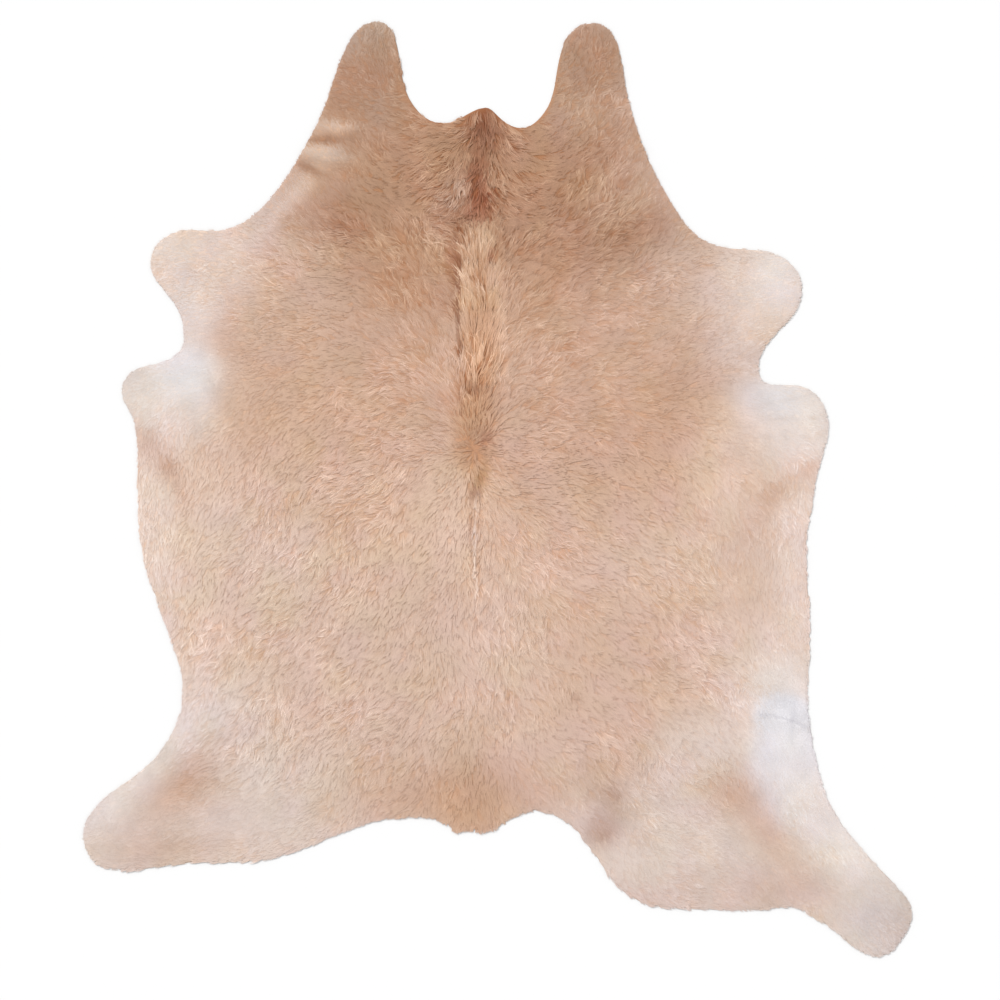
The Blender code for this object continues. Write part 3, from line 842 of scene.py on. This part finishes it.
def blade_points(blades, x, y, z):
    """The six points of each blade, each point's station, and its side: -1, 0 on the middle line, or 1."""
    points, rises, sides = [], [], []
    for index, (station, width) in enumerate(zip(STATIONS, WIDTH_AT_STATIONS)):
        place = np.column_stack((x[index], y[index], z[index]))
        if width == 0:
            points.append(place)
            rises.append(station)
            sides.append(0.0)
            continue
        run_x, run_y = x[index + 1] - x[index - 1], y[index + 1] - y[index - 1]
        flat = np.cos(blades.roll) / np.maximum(np.hypot(run_x, run_y), LEAST_LENGTH)
        side = np.column_stack((-run_y * flat, run_x * flat, np.sin(blades.roll)))
        side *= (blades.half_width * width)[:, None]
        points += [place + side, place - side]
        rises += [station, station]
        sides += [1.0, -1.0]
    return np.stack(points, axis=1), np.array(rises), np.array(sides)


def placed(name, data):
    """A new object, put in the scene."""
    thing = bpy.data.objects.new(name, data)
    bpy.context.scene.collection.objects.link(thing)
    return thing


def carry_colour(mesh, colour):
    """Gives each point of the mesh its own colour of the coat."""
    shades = np.ones((*colour.shape[:-1], 4), np.float32)
    shades[..., :3] = colour
    mesh.attributes.new("coat", "FLOAT_COLOR", "POINT").data.foreach_set("color", shades.ravel())


def coat_piece(name, points, sides, colour, material):
    """One mesh of many blades."""
    count, per_blade = points.shape[:2]
    corners = np.concatenate(BLADE_FACES)
    sizes = [len(face) for face in BLADE_FACES]
    starts = np.cumsum([0] + sizes[:-1])
    first_point = np.arange(count) * per_blade
    first_corner = np.arange(count) * len(corners)

    mesh = bpy.data.meshes.new(name)
    mesh.vertices.add(count * per_blade)
    mesh.vertices.foreach_set("co", points.astype(np.float32).ravel())
    mesh.loops.add(count * len(corners))
    mesh.loops.foreach_set("vertex_index", (first_point[:, None] + corners).astype(np.int32).ravel())
    mesh.polygons.add(count * len(BLADE_FACES))
    mesh.polygons.foreach_set("loop_start", (first_corner[:, None] + starts).astype(np.int32).ravel())
    mesh.update(calc_edges=True)
    mesh.shade_smooth()

    carry_colour(mesh, colour)
    strands = np.repeat(np.random.default_rng(count).uniform(0, STRAND_SPREAD, count), per_blade)
    for label, values in (("side", np.tile(sides, count)), ("strands", strands)):
        attribute = mesh.attributes.new(label, "FLOAT", "POINT")
        attribute.data.foreach_set("value", values.astype(np.float32))

    flat = points[:, :, :2].reshape(-1, 2)
    low, high = flat.min(axis=0), flat.max(axis=0)
    seen = ((flat - low) / (high - low))[(first_point[:, None] + corners).ravel()]
    mesh.uv_layers.new(name="OFBake").data.foreach_set("uv", seen.astype(np.float32).ravel())
    mesh.materials.append(material)
    piece = placed(name, mesh)
    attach(piece, "root")
    return piece


def build_coat(rim, under, top, pile, material):
    """The hair, parted into pieces from the neck to the rump."""
    rng = np.random.default_rng(SEED)
    blades = grown_blades(rng, grown_tufts(rng, rim))
    points, rises, sides = blade_points(blades, *laid_blades(blades, rim, under, top, pile))
    on_hide = rim(blades.x, blades.y) > 0
    order = np.argsort(-blades.y, kind="stable")
    order = order[on_hide[order]]
    # Painted shade towards each blade's root and a lighter tip, and painted warmth in that shade
    painted_root_shade = ROOT_SHADE_TO_TIP * (rises - EVEN_STATION)
    shade = 1 + blades.contrast[:, None] * (painted_root_shade + TINT_STRENGTH * blades.tint[:, None])
    richness = ROOT_RICHNESS * (1 - rises) * np.minimum(blades.contrast, RICHEST_CONTRAST)[:, None]
    pieces = []
    for name, part in zip(COAT_PIECES, np.array_split(order, len(COAT_PIECES))):
        colour = shaded(coat_colour(blades.x[part], blades.y[part])[:, None], shade[part], richness[part])
        pieces.append(coat_piece(name, points[part], sides, colour, material))
    return pieces


def build_sheet(work, rim, under, pile, fur, leather):
    """The tanned hide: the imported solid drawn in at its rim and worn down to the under-fur."""
    bmesh.ops.subdivide_edges(work, edges=work.edges, cuts=1, use_grid_fill=True)
    places = np.array([vert.co[:] for vert in work.verts])
    x, y, z = places.T
    away = rim(x, y)
    slope_x = (rim(x + GRID_STEP, y) - rim(x - GRID_STEP, y)) / (2 * GRID_STEP)
    slope_y = (rim(x, y + GRID_STEP) - rim(x, y - GRID_STEP)) / (2 * GRID_STEP)
    inset = SHEET_INSET * np.clip(1 - away / INSET_FADES_AT, 0, 1)
    floor = under(x, y)
    height = floor + (z - floor) * (1 - pile(x, y))
    for vert, *place in zip(work.verts, x + slope_x * inset, y + slope_y * inset, height):
        vert.co = place
    work.normal_update()
    for face in work.faces:
        face.smooth = True
        face.material_index = 0 if face.normal.z > FACES_UP else 1

    mesh = bpy.data.meshes.new("hide_sheet")
    work.to_mesh(mesh)
    contrast = hair_kind(x, y)[3]
    # Painted light and shade on the under-fur between the tufts, and painted warmth in it
    lift = 1 + UNDER_FUR_LIFT * np.minimum(contrast, 1) - PARTED_SHADE * np.maximum(contrast - 1, 0)
    richness = UNDER_FUR_RICHNESS * np.minimum(contrast, RICHEST_CONTRAST)
    carry_colour(mesh, shaded(coat_colour(x, y), lift, richness))
    mesh.materials.append(fur)
    mesh.materials.append(leather)
    sheet = placed("hide_sheet", mesh)
    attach(sheet, "root")
    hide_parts("hide")
    return sheet


class Nodes:
    """A short way to write a material's nodes."""

    def __init__(self, name):
        self.material = bpy.data.materials.new(name)
        self.material.use_nodes = True
        self.tree = self.material.node_tree
        self.shader = self.tree.nodes["Principled BSDF"]

    def add(self, kind, settings=(), **inputs):
        node = self.tree.nodes.new(kind)
        for name, value in settings:
            setattr(node, name, value)
        for name, value in inputs.items():
            self.feed(node, name.replace("_", " "), value)
        return node

    def feed(self, node, place, value):
        """Links a value to a node's input, or sets it there if it is a plain one."""
        socket = node.inputs[place]
        if isinstance(value, bpy.types.NodeSocket):
            self.tree.links.new(value, socket)
        else:
            socket.default_value = value

    def read(self, name, output="Fac"):
        return self.add("ShaderNodeAttribute", (("attribute_name", name),)).outputs[output]

    def ranged(self, value, low, high, start=0.3, end=0.7):
        """A noise's value, which lies mostly from start to end, spread out from low to high."""
        node = self.add("ShaderNodeMapRange", (("clamp", True),), Value=value)
        for name, number in (("From Min", start), ("From Max", end), ("To Min", low), ("To Max", high)):
            self.feed(node, name, number)
        return node.outputs["Result"]

    def times(self, colour, factor):
        node = self.add("ShaderNodeVectorMath", (("operation", "SCALE"),), Scale=factor)
        self.feed(node, 0, colour)
        return node.outputs["Vector"]

    def math(self, operation, first, second):
        node = self.add("ShaderNodeMath", (("operation", operation),))
        self.feed(node, 0, first)
        self.feed(node, 1, second)
        return node.outputs["Value"]

    def noise(self, scale, detail):
        where = self.add("ShaderNodeTexCoord").outputs["Object"]
        return self.add("ShaderNodeTexNoise", Scale=scale, Detail=detail, Vector=where).outputs["Fac"]

    def bump(self, height, strength, distance):
        node = self.add("ShaderNodeBump", Strength=strength, Distance=distance, Height=height)
        return node.outputs["Normal"]

    def finished(self, **inputs):
        """The material, once its shader has these inputs."""
        for name, value in inputs.items():
            self.feed(self.shader, name.replace("_", " "), value)
        return self.material


def coat_material():
    """Hair: the colour that each blade carries, drawn as fine hairs side by side along it."""
    nodes = Nodes("cowhide hair")
    across = nodes.math("MULTIPLY", nodes.read("side"), HAIRS_ACROSS)
    across = nodes.math("ADD", across, nodes.read("strands"))
    settings = (("noise_dimensions", "1D"),)
    strand = nodes.add("ShaderNodeTexNoise", settings, W=across, Scale=1.0, Detail=1.0).outputs["Fac"]
    return nodes.finished(
        Base_Color=nodes.times(nodes.read("coat", "Color"), nodes.ranged(strand, low=0.72, high=1.26)),
        Normal=nodes.bump(strand, strength=0.5, distance=0.2 * MM),
        Roughness=nodes.ranged(nodes.noise(scale=60.0, detail=2.0), low=0.48, high=0.62),
        Specular_IOR_Level=0.30,
        Sheen_Weight=0.10,
        Sheen_Roughness=0.45,
    )


def fur_material():
    """Under-fur seen between the tufts: the coat's colour, deeper and finely grained."""
    nodes = Nodes("cowhide under-fur")
    grain = nodes.noise(scale=420.0, detail=3.0)
    return nodes.finished(
        Base_Color=nodes.times(nodes.read("coat", "Color"), nodes.ranged(grain, low=0.84, high=1.13)),
        Normal=nodes.bump(grain, strength=0.6, distance=0.8 * MM),
        Roughness=nodes.ranged(grain, low=0.75, high=0.9),
        Specular_IOR_Level=0.20,
    )


def leather_material():
    """Pale tanned leather of the underside and the cut rim, with a soft suede nap."""
    nodes = Nodes("tanned leather")
    nap = nodes.noise(scale=260.0, detail=4.0)
    ramp = nodes.add("ShaderNodeValToRGB", Fac=nodes.noise(scale=5.0, detail=8.0))
    for element, position, tone in zip(ramp.color_ramp.elements, (0.3, 0.7), (DEEP_LEATHER, PALE_LEATHER)):
        element.position = position
        element.color = (*linear(tone), 1)
    worn = nodes.ranged(nap, low=0.9, high=1.05, start=0.0, end=1.0)
    return nodes.finished(
        Base_Color=nodes.times(ramp.outputs["Color"], worn),
        Normal=nodes.bump(nap, strength=0.3, distance=0.4 * MM),
        Roughness=nodes.ranged(nap, low=0.8, high=0.95),
        Specular_IOR_Level=0.25,
    )


def build_floor():
    mesh = bpy.data.meshes.new("floor")
    half = FLOOR_SIZE / 2
    ring = ((-half, -half), (half, -half), (half, half), (-half, half))
    corners = [(x, y, -FLOOR_DROP) for x, y in ring]
    mesh.from_pydata(corners, [], [(0, 1, 2, 3)])
    tone = (*linear(FLOOR_TONE), 1)
    paint = Nodes("pale floor").finished(Base_Color=tone, Roughness=0.9, Specular_IOR_Level=0.1)
    mesh.materials.append(paint)
    floor = placed("floor", mesh)


def light_scene():
    world = bpy.data.worlds.new("studio")
    world.use_nodes = True
    background = world.node_tree.nodes["Background"]
    background.inputs["Color"].default_value = (*linear(SKY_TONE), 1)
    background.inputs["Strength"].default_value = SKY_STRENGTH
    bpy.context.scene.world = world
    lamp = bpy.data.lights.new("key", "SUN")
    lamp.energy = KEY_STRENGTH
    lamp.angle = math.radians(KEY_SOFTNESS)
    key = placed("key", lamp)
    cos, sin = direction(KEY_HEADING)
    lift = math.radians(KEY_HEIGHT)
    towards = Vector((cos * math.cos(lift), sin * math.cos(lift), math.sin(lift)))
    key.rotation_euler = towards.to_track_quat("Z", "Y").to_euler()
    key.location = towards * KEY_DISTANCE
    bpy.context.scene.view_settings.view_transform = "Standard"


def place_camera():
    lens = bpy.data.cameras.new("camera")
    lens.lens = LENS
    lens.sensor_width = SENSOR
    camera = placed("camera", lens)
    camera.location = (CAMERA_X, CAMERA_Y, COAT_TOP + PICTURE_SIDE * LENS / SENSOR)
    bpy.context.scene.camera = camera


def main():
    work = welded_hide()
    rim = rim_field(work)
    under, top = height_fields(work)
    pile = pile_field()
    coat = build_coat(rim, under, top, pile, coat_material())
    sheet = build_sheet(work, rim, under, pile, fur_material(), leather_material())
    work.free()
    build_floor()
    light_scene()
    place_camera()
    bpy.context.view_layer.update()


main()
